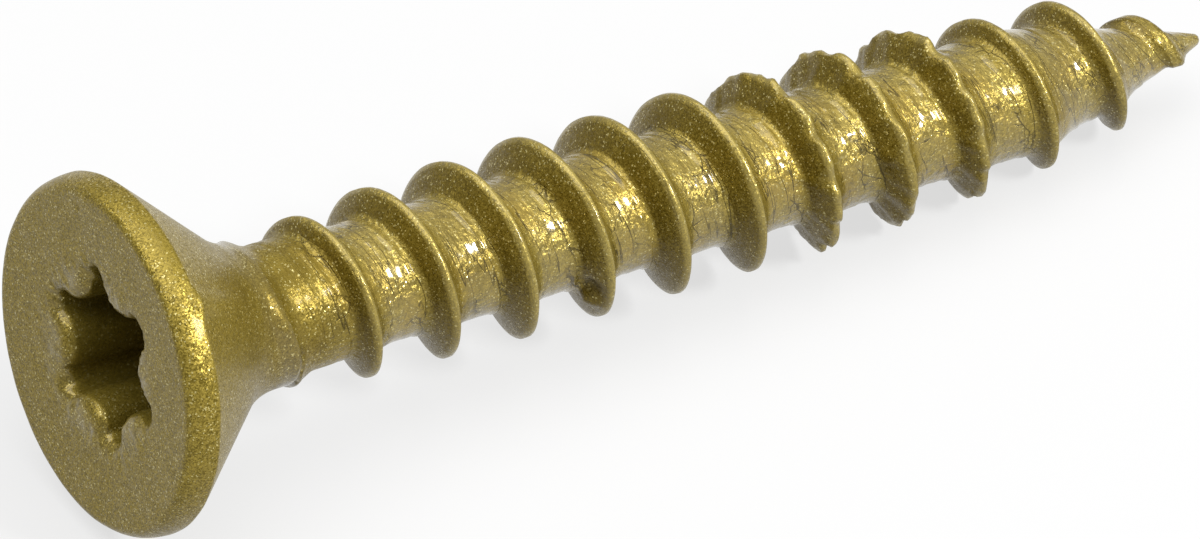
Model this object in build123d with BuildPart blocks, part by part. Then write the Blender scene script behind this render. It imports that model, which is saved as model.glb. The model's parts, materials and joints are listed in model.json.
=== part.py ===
"""Countersunk wood screw, 4.5 x 30, with a six-lobe recess and a coarse gimlet-point thread.

One solid. It is modelled along its own axis, with the flat of the head at z = 0 and the
point at z = length, and is then laid down the way a loose screw comes to rest: on the rim
of its head and on two crests of its thread. In that pose +X runs from the head to the
point, +Z is up, and the origin is under the middle of the screw, on what it lies on.
"""

import os
from math import atan, ceil, cos, degrees, radians, sin, tan

from build123d import *

os.makedirs("parts", exist_ok=True)

# Overall size, in millimetres. Places along the screw are measured from the flat of the head,
# and those near the point, where this is said, back from its tip.
length = 30.0
head_diameter = 8.65
thread_diameter = 4.5
root_diameter = 2.95

# Countersunk head
edge_round = 0.5  # radius between the flat of the head and its rim
edge_bevels = 3  # straight bevels that make up that round
rim_height = 0.3  # straight wall of the rim
rim_bevel = 0.15  # between the rim and the cone
cone_angle = 84.0  # full angle of the cone under the head
neck_round = 1.5  # hollow radius between the cone and the neck

# Smooth neck, and the bead that the rolling of the thread leaves at its end
neck_diameter = 3.46
neck_length = 0.7  # from where the cone would end without its round
bead_diameter = 3.6
bead_width = 0.5
collar_diameter = 3.15  # of the core beside the bead
collar_length = 2.4  # along which it thins to the root diameter

# Thread, right-handed
pitch = 2.05
thread_gap = 0.35  # from the neck to the start of the thread
thread_stop = 0.5  # back from the tip
crest_width = 0.3
foot_width = 1.3  # of the full thread, at the core
knee_share = 0.45  # of the height, where the flank changes slope
flank_hollow = 0.1  # how far it sags in there, as a share of its height
run_in_turns = 0.7  # in which the crest rises out of the core
run_in_share = 0.8  # of the full height, after the run-in
settle_turns = 2.5  # in which the crest gains the rest
section_angle = 15.0  # between neighbouring sections of the thread

# Serrated stretch of the crest
serration_start = 12.2  # back from the tip
serration_turns = 2.6
notch_depth = 0.28
sections_per_notch = 2

# Gimlet point, with places back from its tip
point_length = 5.0
point_diameter = 0.24  # at the last bevel
point_bulge = 0.1  # how far the point swells past a plain cone
point_tapers = 4  # straight tapers that make up the swell
slim_diameter = 3.72  # of the crest of the last full turn
fade_start = 8.4  # where the crest begins to drop to it
slim_start = 4.8
closing_start = 4.2  # where the crest begins to close on the point

# Six-lobe recess
lobe_diameter = 4.0  # across the tips of the lobes
waist_diameter = 2.85  # across the bumps between them
lobe_radius = 0.34
recess_depth = 2.3
recess_cone_angle = 120.0  # at the bottom
recess_turn = 4.0  # degrees from the start of the thread to a lobe
mouth_bevel = 0.16

head_radius = head_diameter / 2
crest_radius = thread_diameter / 2
root_radius = root_diameter / 2
slim_radius = slim_diameter / 2
neck_radius = neck_diameter / 2
bead_radius = bead_diameter / 2
collar_radius = collar_diameter / 2
full_height = crest_radius - root_radius
rim_end = edge_round + rim_height
rim_foot = rim_end - rim_bevel
cone_end = rim_end + (head_radius - neck_radius) / tan(radians(cone_angle / 2))
neck_end = cone_end + neck_length
thread_start = neck_end + thread_gap
bead_end = neck_end + bead_width
collar_end = bead_end + collar_length
point_radius = point_diameter / 2
thread_end_z = length - thread_stop
serration_z = length - serration_start
point_z = length - point_length
fade_z = length - fade_start
slim_z = length - slim_start
closing_z = length - closing_start
foot_share = 0.9  # the feet of the thread lie inside the core, at this share of its radius
buried_share = 0.97  # and so does its crest at both ends, at this share


def ease(share):
    """Smooth rise from 0 to 1."""
    share = min(max(share, 0.0), 1.0)
    return share * share * (3 - 2 * share)


def core_radius(z):
    """Radius of the solid core under the thread."""
    if z < collar_end:
        share = max(0.0, (z - bead_end) / collar_length)
        return collar_radius + (root_radius - collar_radius) * share
    if z < point_z:
        return root_radius
    share = min((z - point_z) / point_length, 1.0)
    cone = root_radius + (point_radius - root_radius) * share
    return cone + 4 * point_bulge * share * (1 - share)


def crest_at(z):
    """Radius of the crest: it rises from the core, runs full, slims, and closes on the point."""
    turns = (z - thread_start) / pitch
    share = run_in_share * ease(turns / run_in_turns)
    share += (1 - run_in_share) * ease((turns - run_in_turns) / settle_turns)
    buried = core_radius(z) * buried_share
    rising = buried + (crest_radius - buried) * share
    slimming = crest_radius + (slim_radius - crest_radius) * ease((z - fade_z) / (slim_z - fade_z))
    closing = slimming + (buried - slimming) * ease((z - closing_z) / (thread_end_z - closing_z))
    return min(rising, closing)


def edge_corner(i):
    """End of one bevel of the round between the flat of the head and its rim."""
    turned = radians(90 * i / edge_bevels)
    return (head_radius - edge_round * (1 - sin(turned)), edge_round * (1 - cos(turned)))


def point_corner(i):
    """End of one taper of the point."""
    z = point_z + (point_length - point_radius) * i / point_tapers
    return (core_radius(z), z)


def section_plane(z, angle):
    """Plane through the axis of the screw: its x is radial and its y runs to the point."""
    outward = Vector(1, 0, 0).rotate(Axis.Z, angle)
    return Plane(origin=(0, 0, z), x_dir=outward, z_dir=outward.cross(Vector(0, 0, 1)))


def thread_section(z, notched):
    """Section of the thread at z: a narrow flat crest and two flanks, hollow at a knee."""
    top = crest_at(z)
    rise = top - foot_share * core_radius(z)
    half_crest = crest_width / 2
    half_foot = half_crest + (foot_width - crest_width) / 2 * rise / full_height
    if notched:
        top -= notch_depth
        half_crest += (half_foot - half_crest) * notch_depth / full_height / 2
    bottom = foot_share * min(core_radius(z), core_radius(z + half_foot))
    knee = bottom + knee_share * (top - bottom)
    half_knee = half_foot + knee_share * (half_crest - half_foot) - flank_hollow * (top - bottom)
    front = [(bottom, half_foot), (knee, half_knee), (top, half_crest)]
    back = [(out, -along) for out, along in reversed(front)]
    Polyline(*front, *back, close=True)


def six_lobes():
    """Outline of the recess: six lobes and the six bumps between them, all tangent."""
    lobe_centre = Vector(lobe_diameter / 2 - lobe_radius, 0)
    waist = waist_diameter / 2
    near = lobe_centre.X * cos(radians(30))
    bump_radius = lobe_radius**2 - lobe_centre.X**2 - waist**2 + 2 * near * waist
    bump_radius /= 2 * (waist - near - lobe_radius)
    bump_centre = Vector(waist + bump_radius, 0).rotate(Axis.Z, 30)
    touch = lobe_centre + (bump_centre - lobe_centre).normalized() * lobe_radius
    touch_before = Vector(touch.X, -touch.Y)
    for lobe in range(6):
        turned = recess_turn + 60 * lobe
        lobe_arc = [touch_before, Vector(lobe_diameter / 2, 0), touch]
        bump_arc = [touch, Vector(waist, 0).rotate(Axis.Z, 30), touch_before.rotate(Axis.Z, 60)]
        for arc in (lobe_arc, bump_arc):
            ThreePointArc(*[point.rotate(Axis.Z, turned) for point in arc])


# --- Thread: a loft through sections set round the helix, every second one notched where serrated ---
sections_per_turn = 360 / section_angle
first_notch = (serration_z - thread_start) / pitch * sections_per_turn
last_notch = first_notch + serration_turns * sections_per_turn
with BuildPart() as thread:
    for i in range(ceil((thread_end_z - thread_start) / pitch * sections_per_turn) + 1):
        z = thread_start + i * pitch / sections_per_turn
        notched = first_notch < i < last_notch and i % sections_per_notch == 0
        with BuildSketch(section_plane(z, i * section_angle)):
            with BuildLine():
                thread_section(z, notched)
            make_face()
    loft(ruled=True)

# --- Head, neck, core and point are one turned shape; the thread joins it, the recess is cut ---
with BuildPart() as upright:
    with BuildSketch(Plane.XZ) as half_section:
        with BuildLine():
            flat = Line((0, 0), (head_radius - edge_round, 0))
            edge = Polyline(flat @ 1, *[edge_corner(i) for i in range(1, edge_bevels + 1)])
            rim = Line(edge @ 1, (head_radius, rim_end))
            cone = Line(rim @ 1, (neck_radius, cone_end))
            neck = Line(cone @ 1, (neck_radius, neck_end))
            bead_top = (bead_radius, neck_end + bead_width / 2)
            bead = Polyline(neck @ 1, bead_top, (collar_radius, bead_end))
            collar = Line(bead @ 1, (root_radius, collar_end))
            core = Line(collar @ 1, (root_radius, point_z))
            point = Polyline(core @ 1, *[point_corner(i) for i in range(1, point_tapers + 1)], (0, length))
            Line(point @ 1, (0, 0))
        make_face()
        corners = half_section.vertices()
        chamfer(corners.sort_by_distance(rim @ 1)[0], rim_bevel)
        fillet(corners.sort_by_distance(cone @ 1)[0], neck_round)
    revolve(axis=Axis.Z)
    add(thread.part)
    with BuildSketch():
        with BuildLine():
            six_lobes()
        make_face()
    extrude(amount=recess_depth, mode=Mode.SUBTRACT)
    cone_height = waist_diameter / 2 / tan(radians(recess_cone_angle / 2))
    with Locations((0, 0, recess_depth)):
        upwards = (Align.CENTER, Align.CENTER, Align.MIN)
        Cone(waist_diameter / 2, 0, cone_height, align=upwards, mode=Mode.SUBTRACT)
    mouth = upright.faces().sort_by(Axis.Z)[0].inner_wires()[0].edges()
    chamfer(mouth, mouth_bevel)


# --- Laid down: the screw rolls until it rests on the rim and on two crests at once ---
def lean(crest_z):
    """Slope of the screw when it lies on its rim and on its crest at that place."""
    return (head_radius - crest_at(crest_z)) / (crest_z - rim_foot)


def rest_lean(degrees_round):
    """Slope when that side is down: the crest that meets the ground first sets it."""
    first = thread_start + degrees_round / 360 * pitch
    turns = int((thread_end_z - first) / pitch)
    return min(lean(first + turn * pitch) for turn in range(1, turns))


down_side = max(range(360), key=rest_lean)
slope = atan(rest_lean(down_side))
along = Vector(cos(slope), 0, -sin(slope))
down = Vector(-sin(slope), 0, -cos(slope))
zero_side = down.rotate(Axis((0, 0, 0), along), -down_side)
resting = upright.part.moved(Plane(origin=(0, 0, 0), x_dir=zero_side, z_dir=along).location)
box = resting.bounding_box()
with BuildPart() as screw:
    add(resting.moved(Location((-box.center().X, -box.center().Y, -box.min.Z))))

screw.part.label = "screw"
export_step(screw.part, "parts/screw.step")
print(f"slope {degrees(slope):.4f} degrees, down side {down_side} degrees from the thread's start")
print(f"middle of the head's flat at x {-box.center().X:.4f} and z {-box.min.Z:.4f}")
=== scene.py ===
# %% [markdown]
# # A countersunk wood screw, dressed
#
# A wood screw of this kind starts as a piece of wire. One blow forms its head, a punch sinks the
# six-lobe recess, and two flat dies roll the thread into the shank. Last comes a lacquer full of
# fine metal flakes. This lesson makes that one skin: a turned head, a rolled thread, and a
# finish that glitters. The steel part that it dresses is already there as a fixed frame.

# %% Load the frame
import json
import math

import bmesh
import bpy
import numpy as np
from mathutils import Matrix, Vector, noise


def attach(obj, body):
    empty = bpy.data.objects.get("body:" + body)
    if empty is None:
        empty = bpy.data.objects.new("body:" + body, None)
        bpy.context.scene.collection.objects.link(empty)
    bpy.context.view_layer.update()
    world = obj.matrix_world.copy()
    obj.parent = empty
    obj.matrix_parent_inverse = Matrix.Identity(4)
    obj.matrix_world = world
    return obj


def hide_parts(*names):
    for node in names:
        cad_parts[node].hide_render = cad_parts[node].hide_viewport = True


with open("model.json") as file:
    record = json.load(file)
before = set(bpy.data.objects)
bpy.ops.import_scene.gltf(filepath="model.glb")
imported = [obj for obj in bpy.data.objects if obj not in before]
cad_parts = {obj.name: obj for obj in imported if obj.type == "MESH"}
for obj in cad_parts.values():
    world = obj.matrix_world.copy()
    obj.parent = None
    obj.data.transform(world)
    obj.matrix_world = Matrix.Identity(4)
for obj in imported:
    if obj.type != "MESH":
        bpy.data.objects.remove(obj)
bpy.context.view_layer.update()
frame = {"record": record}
bpy.ops.object.select_all(action="DESELECT")

# %% [markdown]
# ## Sizes
#
# The skin could be modelled where it lies, but a lathe and a thread are simplest about an
# upright axis. So it is modelled upright and in millimetres, with the flat of the head at z = 0
# and the point at z = LENGTH, and is laid down where the steel part lies at the end. All places
# along the screw are measured from the flat of the head, and angles go round from the place
# where the thread starts.

# %% Sizes that many steps share
LENGTH = 30.0
PITCH = 2.05
NECK_END = 4.62
NECK_RADIUS = 1.745
ROOT_RADIUS = 1.48
CREST_RADIUS = 2.26
TAU = math.tau
DOWN_SIDE = math.radians(28)
TOP_SIDE = DOWN_SIDE + math.pi
print("screw of", LENGTH, "mm, with a crest every", PITCH, "mm")

# %% [markdown]
# ## The thread, drawn as one pitch
#
# A thread is one short outline that repeats along a helix. A profile could be swept along a
# helical curve, but its foot would then have to be joined to the core. So the outline of a
# single pitch is drawn first, core and all, as a chain of points extruded from one vertex, and
# the Screw modifier then turns it round and round while it climbs. The points stand closer
# together in the middle, where the crest will be, because the outline bends most there.

# %% One pitch of outline
ROWS = 34
CROWDING = 0.5


def row_place(row):
    """Place of an outline point along the pitch, crowded towards the middle."""
    share = row / ROWS - 0.5
    return PITCH * (share - CROWDING * math.sin(TAU * share) / TAU)


def select_all(state="SELECT"):
    bpy.ops.mesh.select_all(action=state)


bpy.ops.mesh.primitive_plane_add(size=1, location=(0, 0, 0))
shank = bpy.context.object
shank.name = "screw_skin"
bpy.ops.object.mode_set(mode="EDIT")
select_all()
bpy.ops.mesh.merge(type="CENTER")
bpy.ops.transform.translate(value=(ROOT_RADIUS, 0, NECK_END - PITCH))
for row in range(1, ROWS + 1):
    rise = row_place(row) - row_place(row - 1)
    bpy.ops.mesh.extrude_region_move(TRANSFORM_OT_translate={"value": (0, 0, rise)})
bpy.ops.object.mode_set(mode="OBJECT")
print("outline points:", len(shank.data.vertices))

# %% Turn it along the helix
STEPS = 150
SPARE_TURNS = 2
SEAM_GAP = 0.001
helix = shank.modifiers.new("helix", "SCREW")
helix.axis = "Z"
helix.angle = TAU
helix.screw_offset = PITCH
helix.iterations = math.ceil((LENGTH - NECK_END) / PITCH) + SPARE_TURNS
helix.steps = helix.render_steps = STEPS
bpy.ops.object.modifier_apply(modifier="helix")
bpy.ops.object.mode_set(mode="EDIT")
select_all()
bpy.ops.mesh.remove_doubles(threshold=SEAM_GAP)
bpy.ops.object.mode_set(mode="OBJECT")
print("after the screw:", len(shank.data.vertices), "points,", len(shank.data.polygons), "faces")

# %% [markdown]
# The sleeve that the modifier leaves has a stepped edge at both ends. Two flat cuts, made with
# Bisect, give it clean round ends: one at the neck, and one just short of the tip. Where a cut
# passes close to a point it leaves a sliver, so points that nearly touch are merged after it.

# %% Trim both ends
CUT_TOLERANCE = 0.0005
SLIVER = 0.004
TIP_CUT = LENGTH - 0.07


def trim(height, keep_above):
    """Cuts the sleeve at a height and throws one side away."""
    select_all()
    bpy.ops.mesh.bisect(
        plane_co=(0, 0, height),
        plane_no=(0, 0, 1),
        clear_inner=keep_above,
        clear_outer=not keep_above,
        threshold=CUT_TOLERANCE,
    )


bpy.ops.object.mode_set(mode="EDIT")
trim(NECK_END, keep_above=True)
trim(TIP_CUT, keep_above=False)
select_all()
bpy.ops.mesh.remove_doubles(threshold=SLIVER)
bpy.ops.object.mode_set(mode="OBJECT")
print("trimmed sleeve:", len(shank.data.vertices), "points")

# %% [markdown]
# ## The rolled form
#
# Now each point of the sleeve gets its true radius. The dies press the core and squeeze the
# metal up into the crest, so the radius at a point depends on two things: where it lies along
# the axis, which gives the core, and how far it is from the nearest crest, which gives the
# flank. It could be sculpted, but plain functions give every turn the same form, and numpy
# works them out for all points at once.

# %% Helpers for smooth forms
def ease(share):
    """Smooth rise from 0 to 1."""
    share = np.clip(share, 0, 1)
    return share * share * (3 - 2 * share)


def bump_at(x, width):
    """A rounded hump: 1 at 0, and 0 past the width."""
    return ease(1 - np.abs(x) / width)


def within(z, span, fade):
    """1 inside a stretch of the screw and 0 outside it, with soft ends."""
    return ease((z - span[0]) / fade) * ease((span[1] - z) / fade)


def soft_max(a, b, blend):
    """The larger of two heights, with a fillet of about that size where they meet."""
    return (a + b + np.sqrt((a - b) ** 2 + blend**2)) / 2


def soft_min(a, b, blend):
    """The smaller of two heights, with the edge where they meet rounded off."""
    return -soft_max(-a, -b, blend)


print("a hump, from its top to its foot:", [round(float(bump_at(x, 4)), 2) for x in range(5)])

# %% The core: collar, root and point
STEP_PLACE = 4.45
STEP_SKEW = 0.5
STEP_LENGTH = 0.5
COLLAR_RADIUS = 1.6
COLLAR_START = 4.9
COLLAR_END = 7.3
POINT_START = 25.0
POINT_BULGE = 0.08
TIP_RADIUS = 0.1


def past_start(angle, z):
    """How far past the end of the neck. The step there stands askew."""
    return z - STEP_PLACE + STEP_SKEW * np.cos(angle - TOP_SIDE)


def past_step(angle, z):
    """0 on the smooth neck, 1 where the rolled core begins."""
    return ease(past_start(angle, z) / STEP_LENGTH)


def core_radius(z):
    """Collar, root and point, without the thread."""
    thinned = ease((z - COLLAR_START) / (COLLAR_END - COLLAR_START))
    collar = COLLAR_RADIUS + (ROOT_RADIUS - COLLAR_RADIUS) * thinned
    share = np.clip((z - POINT_START) / (LENGTH - POINT_START), 0, 1)
    point = ROOT_RADIUS + (TIP_RADIUS - ROOT_RADIUS) * share
    point = point + 4 * POINT_BULGE * share * (1 - share)
    return np.where(z < POINT_START, collar, point)


print("core radius halfway down the point:", round(float(core_radius(27.5)), 3), "mm")

# %% The crest: it rises from the core, runs full, slims, and closes on the point
THREAD_START = 4.75
THREAD_END = 29.5
BURIED = 0.97
RUN_IN_TURNS = 0.7
RUN_IN_SHARE = 0.8
SETTLE_TURNS = 2.5
SETTLE_SHARE = 0.2
SLIM_START = 21.9
SLIM_END = 24.75
SLIM_RADIUS = 1.91
CLOSING_START = 25.4
CLOSING_END = 29.0
LAST_RIDGE = 0.2
LAST_FADE = 0.5


def crest_radius(z):
    """Radius of the crest at its own place along the screw."""
    turn = (z - THREAD_START) / PITCH
    buried = core_radius(z) * BURIED
    risen = RUN_IN_SHARE * ease(turn / RUN_IN_TURNS)
    risen = risen + SETTLE_SHARE * ease((turn - RUN_IN_TURNS) / SETTLE_TURNS)
    rising = buried + (CREST_RADIUS - buried) * risen
    slimmed = ease((z - SLIM_START) / (SLIM_END - SLIM_START))
    slimming = CREST_RADIUS + (SLIM_RADIUS - CREST_RADIUS) * slimmed
    ridge = core_radius(z) + LAST_RIDGE * ease((THREAD_END - z) / LAST_FADE)
    closed = ease((z - CLOSING_START) / (CLOSING_END - CLOSING_START))
    closing = slimming + (ridge - slimming) * closed
    return np.minimum(rising, closing)


def helix_places(angle, z):
    """For each point: axial distance from the nearest crest, and turns along the thread there."""
    lead = (z - THREAD_START) / PITCH - angle / TAU
    nearest = np.round(lead)
    return (lead - nearest) * PITCH, angle / TAU + nearest


def on_crest(away, half):
    """1 near the crest, and 0 from a third past that distance."""
    return ease(1.3 - np.abs(away) / half)


print("crest radius at mid-length:", round(float(crest_radius(LENGTH / 2)), 3), "mm")

# %% [markdown]
# Near the point the crest is cut into lumps, so that it saws its way into the wood. Each notch
# takes a bite out of the crest and pushes what is left a little towards the head. No two are
# quite alike, and the metal between them is torn. Random numbers could set them apart, but
# waves whose periods don't match do the same and give the same screw each time.

# %% The serrated stretch
SERRATION = (17.5, 23.3)
SERRATION_FADE = 0.3
NOTCHES_PER_TURN = 11
NOTCH_DEPTH = 0.17
NOTCH_PUSH = 0.05
NOTCH_SHARE = 0.36
DEPTH_MIDDLE, DEPTH_SPREAD = 0.8, 0.3
PLACE_SPREAD = 0.1


def notched(turn):
    """How far the crest is cut at that turn, from 0 on a lump to 1 in a deep notch."""
    count = turn * NOTCHES_PER_TURN - 0.5
    middle = np.round(count)
    # The waves below go by the number of the notch, and no two of them keep step
    uneven = DEPTH_MIDDLE + DEPTH_SPREAD * np.sin(middle * 2.4) * np.cos(middle * 1.1)
    off = count - middle - PLACE_SPREAD * np.sin(middle * 3.1)
    inside = within(THREAD_START + turn * PITCH, SERRATION, SERRATION_FADE)
    return uneven * ease(1 - np.abs(off) / NOTCH_SHARE) * inside


notches = NOTCHES_PER_TURN * (SERRATION[1] - SERRATION[0]) / PITCH
print("notches in the serrated stretch:", round(notches))

# %% [markdown]
# The dies leave the metal a little uneven, and no two flanks are quite the same. Blender's own
# Perlin noise gives that, read at every point. Along the thread it is stretched, because the
# metal flows that way while it is rolled.

# %% Unevenness
def lumps(positions, scale, seed):
    """Smooth noise from -1 to 1 at each position."""
    shift = Vector((seed, 2.3 * seed, -seed))
    return np.array([noise.noise(Vector(p) * scale + shift) for p in positions])


def along_thread(angle, z, stretch):
    """Positions in which one turn of the thread is a straight run, drawn out by a factor."""
    away, turn = helix_places(angle, z)
    return np.stack([turn * TAU * ROOT_RADIUS / stretch, away, np.zeros_like(away)], axis=1)


print("one turn of the root, rolled out:", round(TAU * ROOT_RADIUS, 2), "mm")

# %% [markdown]
# The section of the thread is two straight flanks under a narrow crest. The flank that faces
# the head meets the core in a sharp corner and the other in a wide hollow, because the dies
# push the metal that way. The core swells towards the thread, most of all near the point.

# %% Radius of the rolled form
CREST_HALF = 0.06
FOOT_HALF = 0.47
CREST_ROUND = 0.03
BLUNT = 0.14
BLUNT_START = 27
SWELL = 0.1
SWELL_HALF = 0.85
SWELL_MORE_FROM, SWELL_MORE_OVER = 22, 3
HEAD_SIDE_SWELL, HEAD_SIDE_MORE = 0.25, 0.5
FOOT_RIDGE = 0.035
FOOT_RIDGE_AWAY, FOOT_RIDGE_HALF = 0.6, 0.14
HEAD_SIDE_HOLLOW, POINT_SIDE_HOLLOW, LEAST_HOLLOW = 0.03, 0.14, 0.002


def skin_radius(angle, z):
    """Radius of the skin, with its thread and before its unevenness."""
    away, turn = helix_places(angle, z)
    cut = notched(turn)
    crest_z = z - away
    core = core_radius(z)
    top = crest_radius(crest_z)
    full = np.clip((top - core) / (CREST_RADIUS - ROOT_RADIUS), 0, 1)
    half = CREST_HALF + BLUNT * ease(crest_z - BLUNT_START)
    foot = half + (FOOT_HALF - CREST_HALF) * full
    slope = (CREST_RADIUS - ROOT_RADIUS) / (FOOT_HALF - CREST_HALF)
    off = np.abs(away + NOTCH_PUSH * cut)
    thread = soft_min(top - NOTCH_DEPTH * cut, core + slope * (foot - off), CREST_ROUND)
    more = ease((crest_z - SWELL_MORE_FROM) / SWELL_MORE_OVER)
    swell = SWELL * (1 + more) * np.where(away < 0, HEAD_SIDE_SWELL + HEAD_SIDE_MORE * more, 1)
    base = core + swell * full * bump_at(away, SWELL_HALF)
    base += FOOT_RIDGE * full * bump_at(away + FOOT_RIDGE_AWAY, FOOT_RIDGE_HALF)
    hollow = np.where(away < 0, HEAD_SIDE_HOLLOW, POINT_SIDE_HOLLOW) * full + LEAST_HOLLOW
    return soft_max(base, thread, hollow)


print("radius on a crest:", round(float(skin_radius(0, THREAD_START + 5 * PITCH)), 3), "mm")

# %% Give the sleeve its radius
TORN_FADE = 0.5
TORN_HALF = 0.4
WAVY = 0.018
ROUGH, ROUGH_SERRATED, ROUGH_TORN = 0.005, 0.015, 0.03
TEAR = 0.1
# Stretch along the thread, features per mm, and seed: of the waves, the roughness and the tears
GRAINS = ((2.5, 3.2, 1.7), (1.0, 5.5, 5.1), (1.0, 3.6, 9.3))


def coordinates(mesh):
    flat = np.empty(len(mesh.vertices) * 3)
    mesh.vertices.foreach_get("co", flat)
    return flat.reshape(-1, 3)


def put_coordinates(mesh, points):
    mesh.vertices.foreach_set("co", points.ravel())
    mesh.update()


points = coordinates(shank.data)
height = points[:, 2]
angle = np.arctan2(points[:, 1], points[:, 0])
radius = skin_radius(angle, height)
wavy, rough, tears = (
    lumps(along_thread(angle, height, stretch), scale, seed) for stretch, scale, seed in GRAINS
)
away = helix_places(angle, height)[0]
serrated = within(height - away, SERRATION, TORN_FADE)
torn = serrated * on_crest(away, TORN_HALF)
roughness = ROUGH + ROUGH_SERRATED * serrated + ROUGH_TORN * torn
radius += WAVY * wavy + roughness * rough + TEAR * torn * tears
points[:, 0] = radius * np.cos(angle)
points[:, 1] = radius * np.sin(angle)
put_coordinates(shank.data, points)
print("crest of the skin:", round(float(radius.max()), 3), "mm")

# %% [markdown]
# ## The head, turned ring by ring
#
# The head is a lathe job. It could be spun from an outline like the shank, but a spin can't
# change from a circle to the six lobes of the recess. So a circle at the neck is extruded again
# and again, and each new ring is put at its own radius and height: up the hollow of the neck,
# out along the cone, round the rim, and back in over the flat. Every ring keeps the same number
# of points, and the last rings change to the six lobes without any triangles.

# %% Ring tools
RING = 240
ring_turn = np.arange(RING) / RING * TAU
circle = np.stack([np.cos(ring_turn), np.sin(ring_turn)], axis=1)


def next_ring(outline, z):
    """Extrudes the selected ring and puts the new one on an outline, at a height."""
    bpy.ops.mesh.extrude_region_move()
    edit = bmesh.from_edit_mesh(head.data)
    order = edit.verts.layers.int["order"]
    for vertex in edit.verts:
        if vertex.select:
            vertex.co = (*outline[vertex[order]], z)
    bmesh.update_edit_mesh(head.data)


print("points in each ring:", RING)

# %% [markdown]
# The outline of the recess is made of twelve arcs that touch: six lobes bulge outwards, and six
# bumps between them bulge inwards. Offsetting it is easy, because an arc grown by a distance is
# the same arc with another radius. The rings on the wall and round the mouth use that.

# %% Half a lobe
LOBE_REACH = 2.1
WAIST = 1.45
LOBE_RADIUS = 0.34
RECESS_TURN = math.radians(6)
RECESS_OFF = np.array([-0.06, -0.2])
HALF_LOBE = RING // 12
ARC_POINTS = 60


def arc(centre, radius, start, end):
    """Points along an arc."""
    turned = np.linspace(start, end, ARC_POINTS)
    return centre + radius * np.stack([np.cos(turned), np.sin(turned)], axis=1)


def half_lobe(grow):
    """Outline from the tip of a lobe to the middle of the next bump, evenly spaced."""
    lobe_x = LOBE_REACH - LOBE_RADIUS
    bump_x = lobe_x * math.cos(math.pi / 6)
    bump = LOBE_RADIUS**2 - lobe_x**2 - WAIST**2 + 2 * bump_x * WAIST
    bump /= 2 * (WAIST - bump_x - LOBE_RADIUS)
    lobe = np.array([lobe_x, 0.0])
    hollow = (WAIST + bump) * np.array([math.cos(math.pi / 6), math.sin(math.pi / 6)])
    towards = hollow - lobe
    touch = math.atan2(towards[1], towards[0])
    outer = arc(lobe, LOBE_RADIUS + grow, 0, touch)
    inner = arc(hollow, bump - grow, touch + math.pi, math.pi + math.pi / 6)
    half = np.concatenate([outer, inner[1:]])
    walked = np.concatenate([[0], np.cumsum(np.linalg.norm(np.diff(half, axis=0), axis=1))])
    steps = np.linspace(0, walked[-1], HALF_LOBE + 1)
    return np.stack([np.interp(steps, walked, half[:, k]) for k in (0, 1)], axis=1)


print("points in half a lobe:", len(half_lobe(0.0)))

# %% All six lobes
def six_lobes(grow=0.0):
    """Points of the recess outline, numbered like the rings."""
    half = half_lobe(grow)
    lobes = []
    for i in range(RING):
        sector, place = divmod(i + HALF_LOBE, 2 * HALF_LOBE)
        side = place - HALF_LOBE
        x, y = half[abs(side)]
        y = math.copysign(y, side)
        turn = sector * math.pi / 3 + RECESS_TURN
        cosine, sine = math.cos(turn), math.sin(turn)
        lobes.append((x * cosine - y * sine, x * sine + y * cosine))
    return np.array(lobes) + RECESS_OFF


print("points round the recess:", len(six_lobes()))

# %% Fillets in the outline of the head
def fillet(corner, before, after, size, count):
    """Points of a fillet in a corner between two straight runs."""
    corner, before, after = (np.array(p, dtype=float) for p in (corner, before, after))
    back = (before - corner) / np.linalg.norm(before - corner)
    on = (after - corner) / np.linalg.norm(after - corner)
    opening = math.acos(float(back @ on))
    start = corner + back * size / math.tan(opening / 2)
    end = corner + on * size / math.tan(opening / 2)
    middle = (back + on) / np.linalg.norm(back + on)
    centre = corner + middle * size / math.sin(opening / 2)
    first, last = start - centre, end - centre
    turned = math.acos(float(first @ last) / size**2)
    points = []
    for share in np.linspace(0, 1, count):
        spoke = first * math.sin((1 - share) * turned) + last * math.sin(share * turned)
        points.append(centre + spoke / math.sin(turned))
    return points


print("points in a fillet:", len(fillet((0, 0), (1, 0), (0, 1), size=0.5, count=12)))

# %% Outline of the head, from the neck to the flat
HEAD_RADIUS = 4.29
FLAT_RADIUS = 3.96
EDGE_DEPTH = 0.67
RIM_END = 0.73
RIM_ROUND = 0.12
CONE_SLOPE = math.tan(math.radians(41.5))
NECK_ROUND = 2.0
JOIN_GAP = 0.1
NECK_RINGS, RIM_RINGS, EDGE_RINGS = 12, 5, 12

cone_end = RIM_END + (HEAD_RADIUS - NECK_RADIUS) / CONE_SLOPE
neck_start = (NECK_RADIUS, NECK_END)
neck_corner = (NECK_RADIUS, cone_end)
rim_corner = (HEAD_RADIUS, RIM_END)
edge_corner = (HEAD_RADIUS, 0)
turned_outline = [(NECK_RADIUS, NECK_END - 1.5 * JOIN_GAP)]
turned_outline += fillet(neck_corner, neck_start, rim_corner, NECK_ROUND, NECK_RINGS)
turned_outline += fillet(rim_corner, neck_corner, edge_corner, RIM_ROUND, RIM_RINGS)
for rise in np.radians(np.linspace(0, 90, EDGE_RINGS)):
    across = FLAT_RADIUS + (HEAD_RADIUS - FLAT_RADIUS) * math.cos(rise)
    turned_outline.append((across, EDGE_DEPTH * (1 - math.sin(rise))))
print("rings on the head:", len(turned_outline))

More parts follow.
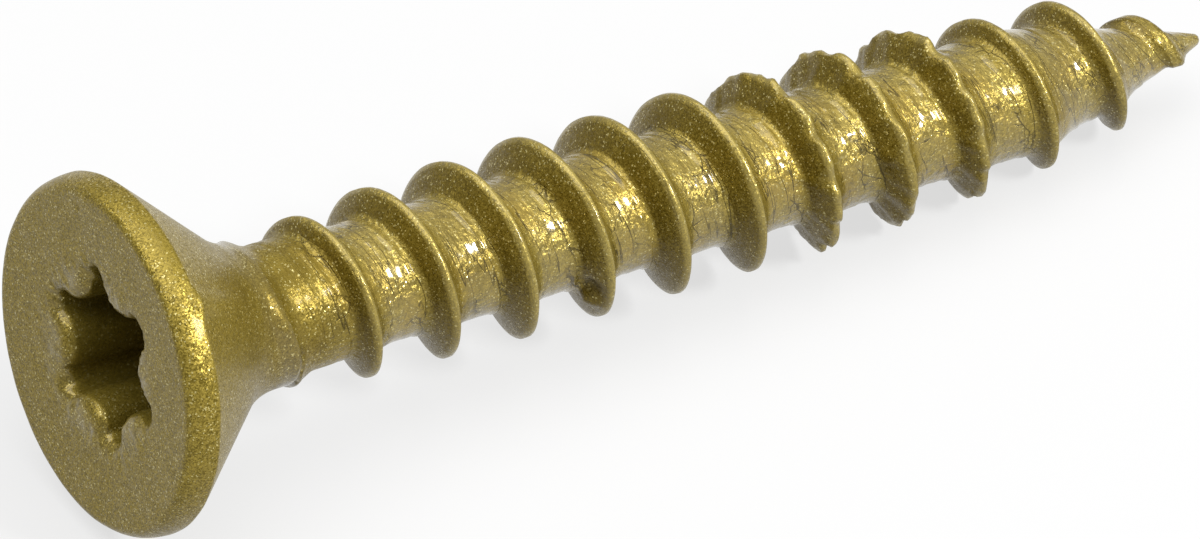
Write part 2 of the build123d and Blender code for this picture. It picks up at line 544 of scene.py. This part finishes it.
# %% Turn the head
bpy.ops.mesh.primitive_circle_add(
    vertices=RING, radius=NECK_RADIUS, location=(0, 0, NECK_END - JOIN_GAP)
)
head = bpy.context.object
bpy.ops.object.transform_apply(location=True, rotation=True, scale=True)
bpy.ops.object.mode_set(mode="EDIT")
edit = bmesh.from_edit_mesh(head.data)
order = edit.verts.layers.int.new("order")
for vertex in edit.verts:
    around = math.atan2(vertex.co.y, vertex.co.x) / TAU * RING
    vertex[order] = round(around) % RING
bmesh.update_edit_mesh(head.data)
select_all()
for ring_radius, ring_z in turned_outline:
    next_ring(circle * ring_radius, ring_z)
print("turned outline reaches the flat at a radius of", FLAT_RADIUS, "mm")

# %% The flat and the mouth of the recess
DISH = 0.06
MOUTH_ROUND = 0.34
FLAT_RINGS, MOUTH_RINGS = 16, 8

mouth_edge = six_lobes(MOUTH_ROUND)
for share in np.linspace(0, 1, FLAT_RINGS)[1:]:
    next_ring(circle * FLAT_RADIUS * (1 - share) + mouth_edge * share, DISH * share)
for turned in np.linspace(0, math.pi / 2, MOUTH_RINGS)[1:]:
    drop = DISH + MOUTH_ROUND * (1 - math.cos(turned))
    next_ring(six_lobes(MOUTH_ROUND * (1 - math.sin(turned))), drop)
print("mouth rounded over", MOUTH_ROUND, "mm")

# %% [markdown]
# The punch leaves a wall that narrows a little, so that it can be pulled out again, and a
# shallow cone at the bottom. Lobes that shrink straight to a point would fold over each other,
# so the floor changes back to a circle first.

# %% The wall and the floor of the recess
RECESS_DEPTH = 2.3
WALL_TAPER = 0.03
WALL_RINGS = 12
FLOOR_RADIUS = 1.25
FLOOR_RIM = 0.05
FLOOR_DROP = 0.75
TO_CIRCLE = (0.35, 0.7, 1.0)  # how far each ring has changed from lobes to a circle
TO_MIDDLE = (0.75, 0.5, 0.25, 0.08)  # size of each ring on the cone

for depth in np.linspace(DISH + MOUTH_ROUND, RECESS_DEPTH, WALL_RINGS)[1:]:
    next_ring(six_lobes(-WALL_TAPER * depth), depth)
floor_edge = six_lobes(-WALL_TAPER * RECESS_DEPTH)
floor_circle = circle * FLOOR_RADIUS
for share in TO_CIRCLE:
    outline = floor_edge * (1 - share) + (floor_circle + RECESS_OFF) * share
    next_ring(outline, RECESS_DEPTH + FLOOR_RIM * share)
for share in TO_MIDDLE:
    floor_z = RECESS_DEPTH + FLOOR_RIM + FLOOR_DROP * (1 - share)
    next_ring(floor_circle * share + RECESS_OFF, floor_z)
bpy.ops.mesh.merge(type="CENTER")
bpy.ops.object.mode_set(mode="OBJECT")
print("head:", len(head.data.vertices), "points")

# %% [markdown]
# ## One skin
#
# The real screw is one piece, so the head and the shank become one closed mesh. A boolean union
# would do it too, but it leaves a ragged line of triangles round the neck. So they are joined
# as objects, the two open rings at the neck are bridged, and the small hole at the tip is
# closed to a point.

# %% Join the two objects
skin = shank
bpy.ops.object.select_all(action="DESELECT")
head.select_set(True)
skin.select_set(True)
bpy.context.view_layer.objects.active = skin
bpy.ops.object.join()
print("joined:", len(skin.data.vertices), "points")

# %% Bridge the neck and close the tip
TIP_RING_RISE, TIP_RING_SHARE = 0.035, 0.75
TIP_RISE = 0.03


def select_open_edges(low, high):
    """Selects the open edges between two heights, and nothing else."""
    select_all("DESELECT")
    edit = bmesh.from_edit_mesh(skin.data)
    found = [e for e in edit.edges if e.is_boundary and all(low < v.co.z < high for v in e.verts)]
    for edge in found:
        edge.select_set(True)
    bmesh.update_edit_mesh(skin.data)
    print("open edges from", low, "to", high, "mm:", len(found))


bpy.ops.object.mode_set(mode="EDIT")
bpy.ops.mesh.select_mode(type="EDGE")
select_open_edges(NECK_END - 2 * JOIN_GAP, NECK_END + JOIN_GAP)
bpy.ops.mesh.bridge_edge_loops()
select_open_edges(TIP_CUT - JOIN_GAP, LENGTH)
bpy.ops.mesh.extrude_edges_move(TRANSFORM_OT_translate={"value": (0, 0, TIP_RING_RISE)})
bpy.ops.transform.resize(value=(TIP_RING_SHARE, TIP_RING_SHARE, 1), center_override=(0, 0, 0))
bpy.ops.mesh.extrude_edges_move(TRANSFORM_OT_translate={"value": (0, 0, TIP_RISE)})
bpy.ops.mesh.merge(type="CENTER")
select_all()
bpy.ops.mesh.normals_make_consistent(inside=False)
bpy.ops.object.mode_set(mode="OBJECT")
bpy.ops.object.shade_smooth()
edit = bmesh.new()
edit.from_mesh(skin.data)
print("open edges left:", sum(e.is_boundary for e in edit.edges))
print("volume:", round(edit.calc_volume(), 1), "mm3")
edit.free()

# %% [markdown]
# ## Marks of a real screw
#
# Every screw that comes off the dies has marks of its own. They could be painted as bumps in
# the material, but then they would be missing from the outline, so each one pushes the points
# near it, along the surface. First comes the step at the end of the neck: it stands askew, so
# the thin rolled part is drawn a little way up the neck on one side, and the thick neck down
# over the thread on the other.

# %% The askew step at the end of the neck
CONE_FOOT = 3.2
SEAM_SLACK = 0.02
ON_CORE, ON_CORE_FADE = 0.3, 0.2

points = coordinates(skin.data)
height = points[:, 2]
angle = np.arctan2(points[:, 1], points[:, 0])
radius = np.hypot(points[:, 0], points[:, 1])
stepped = past_step(angle, height)
shrink = 1 - (1 - COLLAR_RADIUS / NECK_RADIUS) * stepped
in_neck = (height > CONE_FOOT) & (height < NECK_END - SEAM_SLACK)
points[in_neck, :2] *= shrink[in_neck, None]
in_rolled = height > NECK_END - SEAM_SLACK
on_core = ease((COLLAR_RADIUS + ON_CORE - radius) / ON_CORE_FADE)
fuller = (NECK_RADIUS - COLLAR_RADIUS) * (1 - stepped) * on_core
points[in_rolled, :2] *= (1 + fuller / radius)[in_rolled, None]
print("points thinned in the neck:", int((in_neck & (stepped > 0)).sum()))

# %% [markdown]
# Then come a lump of lacquer on the rim, a pit in the face, and a scar in one flank, where the
# metal tore and turned up a lip. A rolled bead runs along the step, lower on top, and just below
# it is a short lap, where the metal folded over. Thick lacquer gathers round the mouth.

# %% How near a point is to a mark
def near(points, place, size):
    """How near each point is to a place on the screw: 1 there, 0 past the size."""
    side, out, z = math.radians(place[0]), place[1], place[2]
    middle = np.array([out * math.cos(side), out * math.sin(side), z])
    return ease(1 - np.linalg.norm((points - middle) / np.array(size), axis=1))


def facing(angle, side, steepness):
    """Largest on the side of the screw at that angle, and 0 from 41 degrees off it."""
    return ease(steepness * (np.cos(angle - side) - 0.75))


def round_mouth(radius, z, middle, half, depth):
    """How near each point is to the mouth of the recess."""
    return bump_at(radius - middle, half) * ease((depth - z) / 0.5)


print("points on the upper side:", int((facing(angle, TOP_SIDE, 4) > 0).sum()))

# %% Push points along the surface
# Push, then angle in degrees, radius and height of its middle, and how far it reaches
LUMP = (0.2, (-112, 4.1, 0.95), (0.6, 0.6, 0.5))
PIT = (-0.04, (-174, 3.65, 0.0), (0.12, 0.12, 0.12))
SCAR = (-0.13, (-45, 1.8, 12.4), (0.4, 0.4, 0.25))
SCAR_LIP = (0.2, (-29, 1.85, 12.45), (0.45, 0.45, 0.35))
BEAD, BEAD_LESS_ON_TOP = 0.075, 0.05
BEAD_BEFORE, BEAD_HALF, BEAD_REACH = 0.06, 0.26, 1.9
LAP, LAP_SIDE = 0.08, math.radians(-42)
LACQUER = 0.045
LACQUER_GRAINS = ((3.5, 2.2), (8.0, 7.7))  # features per mm, and seed
HEAD_WAVES, HEAD_WAVES_END, HEAD_GRAIN = 0.012, 3, (1.6, 4.4)

normals = np.empty(len(points) * 3)
skin.data.vertices.foreach_get("normal", normals)
normals = normals.reshape(-1, 3)
push = np.zeros(len(points))
for amount, middle, size in (LUMP, PIT, SCAR, SCAR_LIP):
    push += amount * near(points, middle, size)
bead = BEAD - BEAD_LESS_ON_TOP * facing(angle, TOP_SIDE, 4)
push += bead * bump_at(past_start(angle, height) + BEAD_BEFORE, BEAD_HALF) * (radius < BEAD_REACH)
push -= LAP * (facing(angle, LAP_SIDE, 3) * (np.abs(height - NECK_END) < SEAM_SLACK))
thick = sum(LACQUER * lumps(points, *grain) for grain in LACQUER_GRAINS)
push += round_mouth(radius, height, middle=2.0, half=0.8, depth=0.7) * thick
push += HEAD_WAVES * lumps(points, *HEAD_GRAIN) * (height < HEAD_WAVES_END)
put_coordinates(skin.data, points + normals * push[:, None])
print("largest push:", round(float(np.abs(push).max()), 3), "mm")

# %% [markdown]
# ## Coordinates for the finish
#
# The finish has to know where it is: wrinkles run along the thread, crests are rubbed paler and
# carry a painted highlight, and the recess gets painted shade. A plain unwrap would cut the
# thread into pieces, so the skin carries a UV map that is unrolled along the helix, in
# millimetres, and a few masks as attributes.

# %% Corners and faces of the mesh
mesh = skin.data


def face_numbers(name, kind, width=1):
    """One property of every face, as an array."""
    values = np.empty(len(mesh.polygons) * width, dtype=kind)
    mesh.polygons.foreach_get(name, values)
    return values


corner_vertex = np.empty(len(mesh.loops), dtype=np.int32)
mesh.loops.foreach_get("vertex_index", corner_vertex)
corner_face = np.repeat(np.arange(len(mesh.polygons)), face_numbers("loop_total", np.int32))
face_middle = face_numbers("center", float, 3).reshape(-1, 3)
points = coordinates(mesh)
print("corners:", len(corner_vertex), "on", len(face_middle), "faces")

# %% Helical UV map
face_angle = np.arctan2(face_middle[:, 1], face_middle[:, 0])[corner_face]
face_turn = helix_places(face_angle, face_middle[:, 2][corner_face])[1]
corner = points[corner_vertex]
corner_angle = np.arctan2(corner[:, 1], corner[:, 0])
corner_angle = face_angle + (corner_angle - face_angle + np.pi) % TAU - np.pi
crest_turn = np.round(face_turn - face_angle / TAU)
lead = (corner[:, 2] - THREAD_START) / PITCH - corner_angle / TAU
along = (corner_angle / TAU + crest_turn) * TAU * ROOT_RADIUS
across = (lead - crest_turn) * PITCH
unrolled = mesh.uv_layers.new(name="unrolled")
unrolled.data.foreach_set("uv", np.stack([along, across], axis=1).ravel())
print("unrolled length:", round(float(along.max() - along.min())), "mm")

# %% [markdown]
# The masks say how strongly each part of the finish shows at a point: where the metal is rolled,
# on the crest, which is rubbed paler and gets a painted highlight, on the flanks, on the flanks
# that face the head, which get painted shade, in the recess, which gets painted shade deeper
# down, in the scar, which gets a painted shadow, on everything below the face, and where the
# lacquer lies thick enough to gloss.

# %% Where the parts of the screw are
STANDING_FULL = 0.7
MOUTH_TOP, WALL_FOOT, FLOOR_FOOT = 0.002, 2.35, 3.2
WALL_REACH, FLOOR_REACH = 2.35, 1.5

radius = np.hypot(points[:, 0], points[:, 1])
height = points[:, 2]
angle = np.arctan2(points[:, 1], points[:, 0])
away = helix_places(angle, height)[0]
rolled = past_step(angle, height)
standing = np.clip((radius - core_radius(height)) / STANDING_FULL, 0, 1)
recess_reach = np.where(height < WALL_FOOT, WALL_REACH, FLOOR_REACH)
in_recess = (height > MOUTH_TOP) & (height < FLOOR_FOOT) & (radius < recess_reach)
print("points in the recess:", int(in_recess.sum()))

# %% Gloss, where lacquer lies thick
LEAST_GLOSS = 0.1
NARROW_CREST, CREST_LINE, WIDE_CREST = 0.08, 0.1, 0.11

off_core = ease(standing * 3)
hollow = ease((np.abs(away) - 0.45) / 0.3) * (1 - off_core) * ease((height - 5.6) / 1.2)
# What each place adds to the least gloss, and how much of it each point has
glossy = {
    "near the point": (0.5, ease((height - 24) / 1.5) * ease(np.abs(away) / 0.5)),
    "round the mouth": (0.5, round_mouth(radius, height, middle=1.9, half=0.6, depth=0.8)),
    "along the bead": (0.8, bump_at(past_start(angle, height) + 0.2, 0.45) * (radius < 2.0)),
    "on the core, midway between crests": (0.75, rolled * hollow),
    "on the crests": (0.4, rolled * on_crest(away, CREST_LINE) * standing),
}
gloss = np.full(len(points), LEAST_GLOSS)
for where, (strength, share) in glossy.items():
    gloss += strength * share
    print("gloss", where, "up to", round(float(gloss.max()), 2))

# %% Masks
LEAST_ROLLED = 0.25
ROLLED_FROM, ROLLED_OVER = 5.0, 0.9
SCAR_SHADE = (0.34, 0.34, 0.25)

well_rolled = ease((height - ROLLED_FROM) / ROLLED_OVER)
head_side = np.where(away < 0, 1, 0) * rolled * ease(standing * 4)
masks = {
    "rolled": rolled * (LEAST_ROLLED + (1 - LEAST_ROLLED) * well_rolled),
    "crest": rolled * on_crest(away, NARROW_CREST) * standing,
    "flank": rolled * off_core * (1 - on_crest(away, WIDE_CREST)),
    # painted shade on the flanks that face the head
    "head_flank_shade": head_side * (1 - on_crest(away, CREST_LINE)) * (1 - 0.4 * standing),
    # painted shade, darker the deeper a point lies in the recess
    "recess": np.where(in_recess, np.clip(height / RECESS_DEPTH, 0, 1), 0),
    # painted shadow under the torn lip of the scar
    "scar_shadow": near(points, SCAR[1], SCAR_SHADE),
    "shaft": ease(height - 1.0),
    "gloss": gloss,
}
for name, values in masks.items():
    mask = mesh.attributes.new(name, "FLOAT", "POINT")
    mask.data.foreach_set("value", np.asarray(values, dtype=np.float32))
    print("mask", name, "covers", round(float(np.mean(values)), 3))

# %% [markdown]
# ## Lay it down
#
# The blow that forms a head seldom falls quite straight, so the head is bent by two degrees
# while the screw still stands upright. Then the screw is laid down. The frame says where the
# steel part lies: its drive recess gives the middle of the head's flat and the way the head
# faces. The skin is scaled to metres and turned to match, and the turn is put into its mesh, so
# that the object itself stays at the origin.

# %% Bend the head a little
HEAD_LEAN = (math.radians(1.09), math.radians(1.88))
BEND_START, BEND_LENGTH = 3.2, 1.6

points = coordinates(skin.data)
reach = points[:, 2] - NECK_END
held = 1 - ease((points[:, 2] - BEND_START) / BEND_LENGTH)
sideways = points[:, :2].copy()
points[:, 0] += HEAD_LEAN[0] * held * reach
points[:, 1] += HEAD_LEAN[1] * held * reach
points[:, 2] -= held * (sideways @ np.array(HEAD_LEAN))
put_coordinates(skin.data, points)
print("head leans by", round(math.degrees(math.hypot(*HEAD_LEAN)), 2), "degrees")

# %% Lay the screw on the ground
TO_METRES = 0.001
recess_mount = next(m for m in frame["record"]["mounts"] if m["name"] == "drive_recess")
head_middle = Vector(recess_mount["pos_m"])
along_screw = -Vector(recess_mount["axis"])
down = Vector((along_screw.z, 0, -along_screw.x))
side = Matrix.Rotation(-DOWN_SIDE, 3, along_screw) @ down
lying = Matrix((side, along_screw.cross(side), along_screw)).transposed().to_4x4()
skin.data.transform(Matrix.Translation(head_middle) @ lying @ Matrix.Scale(TO_METRES, 4))
skin.data.update()
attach(skin, "root")
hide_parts("screw")
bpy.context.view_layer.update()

# %% [markdown]
# ## Writing shaders as sums
#
# A material is a graph of nodes, and long graphs are hard to read as code. This small class
# wraps a socket, so that `1 - mask * 0.5` adds the Math nodes that it says. Every other node
# comes from `Nodes.add`, which takes its type, its settings and what goes into its sockets.

# %% A socket that can be reckoned with
class Wire:
    """An output socket on which Python's arithmetic adds Math nodes."""

    def __init__(self, nodes, socket):
        self.nodes, self.socket = nodes, socket

    def math(self, operation, *others, first=None):
        values = [self if first is None else first, *others]
        node = self.nodes.add("ShaderNodeMath", {"operation": operation}, dict(enumerate(values)))
        return self.nodes.out(node, "Value")

    def __add__(self, other):
        return self.math("ADD", other)

    def __sub__(self, other):
        return self.math("SUBTRACT", other)

    def __rsub__(self, other):
        return self.math("SUBTRACT", self, first=other)

    def __mul__(self, other):
        return self.math("MULTIPLY", other)

    __radd__ = __add__
    __rmul__ = __mul__

    def clamp(self):
        return self.math("MAXIMUM", 0.0).math("MINIMUM", 1.0)


operators = [name for name in vars(Wire) if name.endswith(("add__", "sub__", "mul__"))]
print("a wire can do:", operators)

# %% A node tree to fill
class Nodes:
    """A material's or world's node tree, emptied and ready to fill."""

    def __init__(self, owner):
        owner.use_nodes = True
        self.tree = owner.node_tree
        self.tree.nodes.clear()

    def add(self, kind, settings=None, sockets=None):
        """Adds a node: its settings first, then the values or links of its sockets."""
        node = self.tree.nodes.new(kind)
        for name, value in (settings or {}).items():
            if name == "stops":
                self.set_stops(node.color_ramp, value)
            else:
                setattr(node, name, value)
        for name, value in (sockets or {}).items():
            if isinstance(value, Wire):
                self.tree.links.new(value.socket, node.inputs[name])
            else:
                node.inputs[name].default_value = value
        return node

    def set_stops(self, ramp, stops):
        """Puts the grey stops of a ramp at their places."""
        for element, (place, value) in zip(ramp.elements, stops):
            element.position = place
            element.color = grey(value)

    def out(self, node, name=0):
        return Wire(self, node.outputs[name])

    def get(self, kind, output=0, settings=None, sockets=None):
        """Adds a node and gives one of its outputs."""
        return self.out(self.add(kind, settings, sockets), output)

    def mask(self, name):
        """One of the masks that the mesh carries."""
        return self.get("ShaderNodeAttribute", "Fac", {"attribute_name": name})

    def mix(self, share, first, second):
        """Mixes two colours."""
        return self.get(
            "ShaderNodeMix", 2, {"data_type": "RGBA"}, {0: share, 6: first, 7: second}
        )

    def vector(self, operation, first, second=(0, 0, 0)):
        """Adds a Vector Math node."""
        sockets = {0: first, 1: second}
        return self.get("ShaderNodeVectorMath", "Vector", {"operation": operation}, sockets)


def grey(value):
    """A colour without any tint."""
    return (value, value, value, 1)


print("middling grey:", grey(0.5))

# %% [markdown]
# ## The finish: lacquer full of metal flakes
#
# The colour is an olive gold. It comes from thin metal flakes that lie nearly flat in a clear
# lacquer, each tilted a little its own way. Fine noise would only make the surface look grainy,
# so Voronoi cells stand for the flakes: each cell has a random colour, which tilts its normal
# and makes it lighter or darker. A few are as pale as bare metal, and sparkle.

# %% Flakes
MM = 1000.0
FLAKE = 0.032
FLAKE_TILT = 0.3
LUCKY_FROM, LUCKY_TO = 0.95, 0.97

lacquer = bpy.data.materials.new("olive_gold_flake_lacquer")
n = Nodes(lacquer)
place = n.get("ShaderNodeTexCoord", "Object")
flakes = n.add("ShaderNodeTexVoronoi", {}, {"Vector": place, "Scale": MM / FLAKE})
flake_colour = n.out(flakes, "Color")
flake_parts = n.add("ShaderNodeSeparateColor", {}, {0: flake_colour})
shade = n.out(flake_parts, 0)
lucky = n.out(flake_parts, 1)
stops = [(LUCKY_FROM, 0.0), (LUCKY_TO, 1.0)]
sparkle = n.get("ShaderNodeValToRGB", 0, {"stops": stops}, {0: lucky})
from_middle = n.vector("SUBTRACT", flake_colour, (0.5, 0.5, 0.5))
tilt = n.vector("MULTIPLY", from_middle, (FLAKE_TILT,) * 3)
print("flakes of", FLAKE, "mm")

# %% [markdown]
# The rolled stretch isn't smooth: the dies draw the metal into fine lines along the thread, the
# lacquer dries in small blisters, and here and there the skin of the steel is cracked. Forms as
# fine as these would need millions of faces, so a Bump node raises them. The UV map runs along
# the thread, so the lines and the cracks follow it.

# %% Where the relief lies
unrolled_uv = n.get("ShaderNodeUVMap", 0, {"uv_map": "unrolled"})
rolled_mask = n.mask("rolled")
core_mask = rolled_mask * (1 - n.mask("flank")).clamp() * (1 - n.mask("crest"))


def stretched_noise(across, along, detail=3.0):
    """Noise with so many features per mm across and along the thread."""
    scaled = n.vector("MULTIPLY", unrolled_uv, (along, across, 1.0))
    return n.get("ShaderNodeTexNoise", 0, {}, {"Vector": scaled, "Scale": 1.0, "Detail": detail})


def even_noise(per_mm, detail, output=0):
    """Noise with so many features per mm each way."""
    sockets = {"Vector": place, "Scale": per_mm * MM, "Detail": detail}
    return n.get("ShaderNodeTexNoise", output, {}, sockets)


def step(value, low, high):
    """0 below low, 1 above high, and smooth between."""
    return n.get(
        "ShaderNodeMapRange",
        0,
        {"interpolation_type": "SMOOTHSTEP"},
        {"Value": value, "From Min": low, "From Max": high},
    )


print("nodes so far:", len(n.tree.nodes))

# %% Lines, blisters, cracks and creases
# Features per mm: across and along the thread
HAIRLINES = (9.0, 0.5)
WAVES = (2.6, 0.5)
CRACKED_PLACES = (1.1, 0.6)
DRAWN_LINES = (3.2, 0.32)
# Features per mm: each way
BLISTERS = 4.2
WARP = 2.0
CELLS_PER_MM = (1.9, 2.6, 1.0)
CELL_WARP = (0.9, 0.9, 0.0)
# Values of a noise between which a form begins or ends
CRACKED_EDGE = (0.5, 0.62)
CRACK_EDGE = (0.01, 0.04)
CREASED_EDGE = (0.42, 0.55)
CREASE_EDGE = (0.004, 0.014)

hairlines = stretched_noise(*HAIRLINES)
waves = stretched_noise(*WAVES)
blisters = even_noise(BLISTERS, detail=2.5)
warp = n.vector("MULTIPLY", even_noise(WARP, detail=2.0, output=1), CELL_WARP)
cell_places = n.vector("ADD", n.vector("MULTIPLY", unrolled_uv, CELLS_PER_MM), warp)
cell_edge = n.get(
    "ShaderNodeTexVoronoi",
    "Distance",
    {"feature": "DISTANCE_TO_EDGE"},
    {"Vector": cell_places, "Scale": 1.0},
)
cracked = step(stretched_noise(*CRACKED_PLACES), *CRACKED_EDGE)
cracks = (1 - step(cell_edge, *CRACK_EDGE)) * cracked * core_mask
drawn = stretched_noise(*DRAWN_LINES, detail=2.0)
drawn_line = 1 - step((drawn - 0.5).math("ABSOLUTE"), *CREASE_EDGE)
creases = drawn_line * step(waves, *CREASED_EDGE) * core_mask
print("nodes so far:", len(n.tree.nodes))

# %% Raise the relief
# Heights in units of RELIEF, which is in metres
RELIEF = 0.00003
HAIRLINE_HEIGHT = 0.4
WAVE_HEIGHT = 2.2
BLISTER_HEIGHT, BLISTER_MORE_ON_CORE = 0.2, 2.8
CRACK_DEPTH = 0.5

relief = ((hairlines - 0.5) * HAIRLINE_HEIGHT + (waves - 0.5) * WAVE_HEIGHT) * rolled_mask
relief = relief + (blisters - 0.5) * (BLISTER_HEIGHT + core_mask * BLISTER_MORE_ON_CORE)
relief = relief - cracks * CRACK_DEPTH - creases * CRACK_DEPTH
bumped = n.get("ShaderNodeBump", 0, {}, {"Height": relief, "Strength": 1.0, "Distance": RELIEF})
flaked = n.vector("NORMALIZE", n.vector("ADD", bumped, tilt))
print("unit of relief:", round(RELIEF * MM, 3), "mm")

# %% [markdown]
# The colour starts from the flakes, and thin layers of other colours go over them, each where a
# mask or a noise says. Some layers are painted light and shade: light on the core and the crest,
# shade on the neck and under the head, on the flanks that face the head, in the cracks and
# creases, in the recess and in the scar. One picture of the whole screw could be painted instead,
# but layers stay sharp however near one looks.

# %% Colour, layer by layer
GOLD = (0.305, 0.227, 0.038, 1)
OLIVE = (0.112, 0.08, 0.005, 1)
STRAW = (0.45, 0.36, 0.11, 1)
AMBER = (0.25, 0.16, 0.008, 1)
UMBER = (0.09, 0.06, 0.003, 1)
PALE = (0.6, 0.52, 0.22, 1)
DARK = (0.03, 0.02, 0.003, 1)

PATCHES = (0.9, 0.5)  # features per mm, across and along the thread
CLOUDS = 0.8  # features per mm, each way
SOFT_EDGE = (0.45, 0.7)

patches = step(stretched_noise(*PATCHES), *SOFT_EDGE) * core_mask
clouds = step(even_noise(CLOUDS, detail=3.0), *SOFT_EDGE)
# painted shade darkens the neck and the underside of the head, where the metal isn't rolled, and
# clouds of a darker tone lie here and there below the face
clouds_and_neck_shade = (clouds * 0.35 + (1 - rolled_mask) * 0.28) * n.mask("shaft")
# How strongly each layer shows, and its colour, from the lowest to the uppermost
layers = [
    (patches * 0.55, AMBER),  # lacquer that ran thick
    # painted light: the core between the crests is lightened
    (core_mask * 0.22, STRAW),  # the bright core
    # painted shade on the neck and under the head, and darker clouds
    (clouds_and_neck_shade, UMBER),  # the duller neck, and clouds
    # painted shade on the flanks that face the head
    (n.mask("head_flank_shade") * 0.7, UMBER),  # flanks that face the head
    # the crest is rubbed paler, and carries a painted highlight as well
    (n.mask("crest") * 0.35, STRAW),  # the rubbed crest
    (sparkle * 0.7, PALE),  # flakes that catch the light
    # painted shade in the cracks and creases
    ((cracks + creases).clamp() * 0.7, DARK),
    # painted shade in the recess, deeper down
    (n.mask("recess") * 0.2, DARK),
    # painted shadow in the scar, under its lip
    (n.mask("scar_shadow") * 0.75, DARK),
]
colour = n.mix(shade, OLIVE, GOLD)
for strength, tint in layers:
    colour = n.mix(strength, colour, tint)
print("layers over the flakes:", len(layers))

# %% Shader
skin_shader = n.add(
    "ShaderNodeBsdfPrincipled",
    {},
    {
        "Base Color": colour,
        "Metallic": 0.5,
        "Roughness": 0.37 - sparkle * 0.15,
        "Specular IOR Level": 0.2,
        "Coat Weight": n.mask("gloss"),
        "Coat Roughness": 0.11,
        "Normal": flaked,
    },
)
n.add("ShaderNodeOutputMaterial", {}, {"Surface": n.out(skin_shader)})
skin.data.materials.clear()
skin.data.materials.append(lacquer)
print("lacquer has", len(n.tree.nodes), "nodes")

# %% [markdown]
# ## Floor, light and camera
#
# A pale plain floor carries the soft shadow. More light would whiten it but bleach the screw
# too. So the floor is a dark grey to the lamps, and emission lifts it to white, but only for
# the camera and in reflections. A small soft lamp stands in front, to the right of the
# middle, and draws the highlights. A wide one hangs overhead, and the plain grey sky fills the
# rest.

# %% Floor
FLOOR_SIZE = 3
FLOOR_GAP = 0.00001
FLOOR_GREY, FLOOR_LIFT = 0.15, 0.68

bpy.ops.mesh.primitive_plane_add(size=FLOOR_SIZE, location=(0, 0, 0))
floor = bpy.context.object
floor.name = "floor"
floor.location.z = -FLOOR_GAP
paper = bpy.data.materials.new("white_paper")
n = Nodes(paper)
rays = n.add("ShaderNodeLightPath")
seen = n.out(rays, "Is Camera Ray") + n.out(rays, "Is Glossy Ray")
seen = (seen + n.out(rays, "Is Transmission Ray")).clamp()
paper_shader = n.add(
    "ShaderNodeBsdfPrincipled",
    {},
    {
        "Base Color": grey(FLOOR_GREY),
        "Roughness": 0.9,
        "Specular IOR Level": 0.0,
        "Emission Color": n.mix(seen, grey(0.0), grey(FLOOR_LIFT)),
        "Emission Strength": 1.0,
    },
)
n.add("ShaderNodeOutputMaterial", {}, {"Surface": n.out(paper_shader)})
floor.data.materials.append(paper)
print("floor is", FLOOR_GAP * MM, "mm below the screw")

# %% Sky
SKY_STRENGTH = 0.5

world = bpy.data.worlds.new("studio")
bpy.context.scene.world = world
n = Nodes(world)
sky = n.add("ShaderNodeBackground", {}, {"Color": grey(1.0), "Strength": SKY_STRENGTH})
n.add("ShaderNodeOutputWorld", {}, {"Surface": n.out(sky)})
print("sky has", len(n.tree.nodes), "nodes")

# %% Lamps
# The way to each lamp, its distance and size in metres, and its power in watts
LAMPS = {
    "key": ((0.38, -0.675, 0.64), 0.6, 0.13, 4.2),
    "overhead": ((-0.2, 0.1, 1.0), 0.6, 0.7, 4.5),
}
for name, (towards, distance, size, power) in LAMPS.items():
    data = bpy.data.lights.new(name, "AREA")
    data.shape = "SQUARE"
    data.size = size
    data.energy = power
    lamp = bpy.data.objects.new(name, data)
    bpy.context.collection.objects.link(lamp)
    direction = Vector(towards).normalized()
    lamp.location = direction * distance
    lamp.rotation_mode = "QUATERNION"
    lamp.rotation_quaternion = direction.to_track_quat("Z", "Y")
    print("lamp", name, "of", power, "W")

# %% [markdown]
# The camera stands well off with a long lens, as for a catalogue picture, so that the screw is
# drawn almost without perspective. It looks at the head from the front left and from above.

# %% Camera
TURNED = math.radians(-30.92)
RAISED = math.radians(39.93)
CAMERA_DISTANCE = 0.5
LENS = 658
AIM_RIGHT = 0.01160
AIM_UP = 0.00215

camera_data = bpy.data.cameras.new("camera")
camera = bpy.data.objects.new("camera", camera_data)
bpy.context.collection.objects.link(camera)
camera_data.lens = LENS
camera_data.clip_start = 0.05
camera_data.clip_end = 20
flat_way = Vector((math.sin(TURNED), -math.cos(TURNED), 0))
camera_way = flat_way * math.cos(RAISED) + Vector((0, 0, math.sin(RAISED)))
right = (-camera_way).cross(Vector((0, 0, 1))).normalized()
up = right.cross(-camera_way)
aim = head_middle + right * AIM_RIGHT + up * AIM_UP
camera.location = aim + camera_way * CAMERA_DISTANCE
camera.rotation_mode = "QUATERNION"
camera.rotation_quaternion = camera_way.to_track_quat("Z", "Y")
scene = bpy.context.scene
scene.camera = camera
scene.view_settings.view_transform = "Standard"
print("camera is", CAMERA_DISTANCE, "m from its aim, with a lens of", LENS, "mm")
